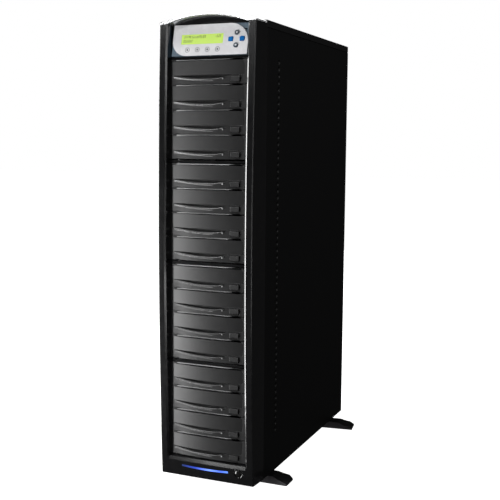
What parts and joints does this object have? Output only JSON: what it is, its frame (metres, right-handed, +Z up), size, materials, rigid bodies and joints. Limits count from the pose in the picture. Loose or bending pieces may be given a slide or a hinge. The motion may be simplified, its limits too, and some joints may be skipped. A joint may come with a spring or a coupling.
{
  "type": "disc duplicator tower",
  "caption": "Tall tower that copies optical discs: a stack of tray-loading drives behind a bowed black front with a silver arch, a tilted keypad and display, side vents and swing-out feet.",
  "frame": {"origin": "bottom centre of the bounding box, on the floor", "axes": "+Z up, -Y is the front with the drive doors, +X is the right side seen from the front"},
  "size_m": [0.2892, 0.5136, 0.8209],
  "materials": {
    "bezel": "gloss black moulding",
    "silver_trim": "silver-painted moulding",
    "light_bar": "lit blue acrylic",
    "button": "gloss black",
    "controller_body": "slate satin",
    "controller_plate": "pale silver satin",
    "lcd": "backlit yellow-green display",
    "board": "circuit board",
    "chassis": "zinc-plated sheet",
    "case_paint": "black powder coat",
    "drive_front": "satin black",
    "drive_steel": "zinc-plated sheet",
    "supply_steel": "grey paint",
    "switch": "black",
    "fan_plastic": "moulded black",
    "screw_steel": "plated",
    "ring_key": "slate with pale centre",
    "square_key": "blue",
    "foot_plastic": "dark grey moulding",
    "tray_plastic": "satin black",
    "eject_plastic": "satin black"
  },
  "bodies": {
    "tower": {"front_bezel": "bezel", "arch_trim": "silver_trim", "light_bar": "light_bar", "controller_body": "controller_body", "controller_plate": "controller_plate", "lcd_window": "lcd", "control_board": "board", "chassis": "chassis", "top_cover": "case_paint", "left_side_panel": "case_paint", "right_side_panel": "case_paint", "drive_faceplates": "drive_front", "drive_housings": "drive_steel", "power_supply": "supply_steel", "fan_frames": "fan_plastic", "screws": "screw_steel"},
    "tray_01": {"tray_01": "tray_plastic"},
    "tray_02": {"tray_02": "tray_plastic"},
    "tray_03": {"tray_03": "tray_plastic"},
    "tray_04": {"tray_04": "tray_plastic"},
    "tray_05": {"tray_05": "tray_plastic"},
    "tray_06": {"tray_06": "tray_plastic"},
    "tray_07": {"tray_07": "tray_plastic"},
    "tray_08": {"tray_08": "tray_plastic"},
    "tray_09": {"tray_09": "tray_plastic"},
    "tray_10": {"tray_10": "tray_plastic"},
    "tray_11": {"tray_11": "tray_plastic"},
    "tray_12": {"tray_12": "tray_plastic"},
    "tray_13": {"tray_13": "tray_plastic"},
    "tray_14": {"tray_14": "tray_plastic"},
    "tray_15": {"tray_15": "tray_plastic"},
    "tray_16": {"tray_16": "tray_plastic"},
    "eject_button_01": {"eject_button_01": "eject_plastic"},
    "eject_button_02": {"eject_button_02": "eject_plastic"},
    "eject_button_03": {"eject_button_03": "eject_plastic"},
    "eject_button_04": {"eject_button_04": "eject_plastic"},
    "eject_button_05": {"eject_button_05": "eject_plastic"},
    "eject_button_06": {"eject_button_06": "eject_plastic"},
    "eject_button_07": {"eject_button_07": "eject_plastic"},
    "eject_button_08": {"eject_button_08": "eject_plastic"},
    "eject_button_09": {"eject_button_09": "eject_plastic"},
    "eject_button_10": {"eject_button_10": "eject_plastic"},
    "eject_button_11": {"eject_button_11": "eject_plastic"},
    "eject_button_12": {"eject_button_12": "eject_plastic"},
    "eject_button_13": {"eject_button_13": "eject_plastic"},
    "eject_button_14": {"eject_button_14": "eject_plastic"},
    "eject_button_15": {"eject_button_15": "eject_plastic"},
    "eject_button_16": {"eject_button_16": "eject_plastic"},
    "up_key": {"up_key": "ring_key"},
    "down_key": {"down_key": "ring_key"},
    "left_key": {"left_key": "square_key"},
    "right_key": {"right_key": "square_key"},
    "power_button": {"power_button": "button"},
    "right_front_foot": {"right_front_foot": "foot_plastic"},
    "left_front_foot": {"left_front_foot": "foot_plastic"},
    "right_rear_foot": {"right_rear_foot": "foot_plastic"},
    "left_rear_foot": {"left_rear_foot": "foot_plastic"},
    "fan_rotor_1": {"fan_rotor_1": "fan_plastic"},
    "fan_rotor_2": {"fan_rotor_2": "fan_plastic"},
    "rocker_switch": {"rocker_switch": "switch"}
  },
  "joints": [
    {"name": "tray_01_slide", "type": "slide", "parent": "tower", "child": "tray_01", "axis": [0, -1, 0], "range_m": [0, 0.14]},
    {"name": "tray_02_slide", "type": "slide", "parent": "tower", "child": "tray_02", "axis": [0, -1, 0], "range_m": [0, 0.14]},
    {"name": "tray_03_slide", "type": "slide", "parent": "tower", "child": "tray_03", "axis": [0, -1, 0], "range_m": [0, 0.14]},
    {"name": "tray_04_slide", "type": "slide", "parent": "tower", "child": "tray_04", "axis": [0, -1, 0], "range_m": [0, 0.14]},
    {"name": "tray_05_slide", "type": "slide", "parent": "tower", "child": "tray_05", "axis": [0, -1, 0], "range_m": [0, 0.14]},
    {"name": "tray_06_slide", "type": "slide", "parent": "tower", "child": "tray_06", "axis": [0, -1, 0], "range_m": [0, 0.14]},
    {"name": "tray_07_slide", "type": "slide", "parent": "tower", "child": "tray_07", "axis": [0, -1, 0], "range_m": [0, 0.14]},
    {"name": "tray_08_slide", "type": "slide", "parent": "tower", "child": "tray_08", "axis": [0, -1, 0], "range_m": [0, 0.14]},
    {"name": "tray_09_slide", "type": "slide", "parent": "tower", "child": "tray_09", "axis": [0, -1, 0], "range_m": [0, 0.14]},
    {"name": "tray_10_slide", "type": "slide", "parent": "tower", "child": "tray_10", "axis": [0, -1, 0], "range_m": [0, 0.14]},
    {"name": "tray_11_slide", "type": "slide", "parent": "tower", "child": "tray_11", "axis": [0, -1, 0], "range_m": [0, 0.14]},
    {"name": "tray_12_slide", "type": "slide", "parent": "tower", "child": "tray_12", "axis": [0, -1, 0], "range_m": [0, 0.14]},
    {"name": "tray_13_slide", "type": "slide", "parent": "tower", "child": "tray_13", "axis": [0, -1, 0], "range_m": [0, 0.14]},
    {"name": "tray_14_slide", "type": "slide", "parent": "tower", "child": "tray_14", "axis": [0, -1, 0], "range_m": [0, 0.14]},
    {"name": "tray_15_slide", "type": "slide", "parent": "tower", "child": "tray_15", "axis": [0, -1, 0], "range_m": [0, 0.14]},
    {"name": "tray_16_slide", "type": "slide", "parent": "tower", "child": "tray_16", "axis": [0, -1, 0], "range_m": [0, 0.14]},
    {"name": "eject_button_01_press", "type": "slide", "parent": "tower", "child": "eject_button_01", "axis": [0, 1, 0], "range_m": [0, 0.001], "stiffness_N_per_m": 400},
    {"name": "eject_button_02_press", "type": "slide", "parent": "tower", "child": "eject_button_02", "axis": [0, 1, 0], "range_m": [0, 0.001], "stiffness_N_per_m": 400},
    {"name": "eject_button_03_press", "type": "slide", "parent": "tower", "child": "eject_button_03", "axis": [0, 1, 0], "range_m": [0, 0.001], "stiffness_N_per_m": 400},
    {"name": "eject_button_04_press", "type": "slide", "parent": "tower", "child": "eject_button_04", "axis": [0, 1, 0], "range_m": [0, 0.001], "stiffness_N_per_m": 400},
    {"name": "eject_button_05_press", "type": "slide", "parent": "tower", "child": "eject_button_05", "axis": [0, 1, 0], "range_m": [0, 0.001], "stiffness_N_per_m": 400},
    {"name": "eject_button_06_press", "type": "slide", "parent": "tower", "child": "eject_button_06", "axis": [0, 1, 0], "range_m": [0, 0.001], "stiffness_N_per_m": 400},
    {"name": "eject_button_07_press", "type": "slide", "parent": "tower", "child": "eject_button_07", "axis": [0, 1, 0], "range_m": [0, 0.001], "stiffness_N_per_m": 400},
    {"name": "eject_button_08_press", "type": "slide", "parent": "tower", "child": "eject_button_08", "axis": [0, 1, 0], "range_m": [0, 0.001], "stiffness_N_per_m": 400},
    {"name": "eject_button_09_press", "type": "slide", "parent": "tower", "child": "eject_button_09", "axis": [0, 1, 0], "range_m": [0, 0.001], "stiffness_N_per_m": 400},
    {"name": "eject_button_10_press", "type": "slide", "parent": "tower", "child": "eject_button_10", "axis": [0, 1, 0], "range_m": [0, 0.001], "stiffness_N_per_m": 400},
    {"name": "eject_button_11_press", "type": "slide", "parent": "tower", "child": "eject_button_11", "axis": [0, 1, 0], "range_m": [0, 0.001], "stiffness_N_per_m": 400},
    {"name": "eject_button_12_press", "type": "slide", "parent": "tower", "child": "eject_button_12", "axis": [0, 1, 0], "range_m": [0, 0.001], "stiffness_N_per_m": 400},
    {"name": "eject_button_13_press", "type": "slide", "parent": "tower", "child": "eject_button_13", "axis": [0, 1, 0], "range_m": [0, 0.001], "stiffness_N_per_m": 400},
    {"name": "eject_button_14_press", "type": "slide", "parent": "tower", "child": "eject_button_14", "axis": [0, 1, 0], "range_m": [0, 0.001], "stiffness_N_per_m": 400},
    {"name": "eject_button_15_press", "type": "slide", "parent": "tower", "child": "eject_button_15", "axis": [0, 1, 0], "range_m": [0, 0.001], "stiffness_N_per_m": 400},
    {"name": "eject_button_16_press", "type": "slide", "parent": "tower", "child": "eject_button_16", "axis": [0, 1, 0], "range_m": [0, 0.001], "stiffness_N_per_m": 400},
    {"name": "up_key_press", "type": "slide", "parent": "tower", "child": "up_key", "axis": [0, 0.9703, -0.2419], "range_m": [0, 0.0007], "stiffness_N_per_m": 400},
    {"name": "down_key_press", "type": "slide", "parent": "tower", "child": "down_key", "axis": [0, 0.9703, -0.2419], "range_m": [0, 0.0007], "stiffness_N_per_m": 400},
    {"name": "left_key_press", "type": "slide", "parent": "tower", "child": "left_key", "axis": [0, 0.9703, -0.2419], "range_m": [0, 0.0007], "stiffness_N_per_m": 400},
    {"name": "right_key_press", "type": "slide", "parent": "tower", "child": "right_key", "axis": [0, 0.9703, -0.2419], "range_m": [0, 0.0007], "stiffness_N_per_m": 400},
    {"name": "power_button_press", "type": "slide", "parent": "tower", "child": "power_button", "axis": [0, 1, 0], "range_m": [0, 0.002], "stiffness_N_per_m": 500},
    {"name": "right_front_foot_swing", "type": "hinge", "parent": "tower", "child": "right_front_foot", "pos_m": [0.065, -0.168, 0], "axis": [0, 0, 1], "range_deg": [0, 90]},
    {"name": "left_front_foot_swing", "type": "hinge", "parent": "tower", "child": "left_front_foot", "pos_m": [-0.065, -0.168, 0], "axis": [0, 0, -1], "range_deg": [-30, 60]},
    {"name": "right_rear_foot_swing", "type": "hinge", "parent": "tower", "child": "right_rear_foot", "pos_m": [0.076, 0.1758, 0], "axis": [0, 0, -1], "range_deg": [0, 98]},
    {"name": "left_rear_foot_swing", "type": "hinge", "parent": "tower", "child": "left_rear_foot", "pos_m": [-0.076, 0.1758, 0], "axis": [0, 0, 1], "range_deg": [0, 98]},
    {"name": "fan_rotor_1_spin", "type": "hinge", "parent": "tower", "child": "fan_rotor_1", "pos_m": [0, 0.2381, 0.33918], "axis": [0, 1, 0], "continuous": true},
    {"name": "fan_rotor_2_spin", "type": "hinge", "parent": "tower", "child": "fan_rotor_2", "pos_m": [0, 0.2381, 0.6105], "axis": [0, 1, 0], "continuous": true},
    {"name": "rocker_switch_tilt", "type": "hinge", "parent": "tower", "child": "rocker_switch", "pos_m": [-0.012, 0.2506, 0.0562], "axis": [-1, 0, 0], "range_deg": [0, 18]}
  ]
}
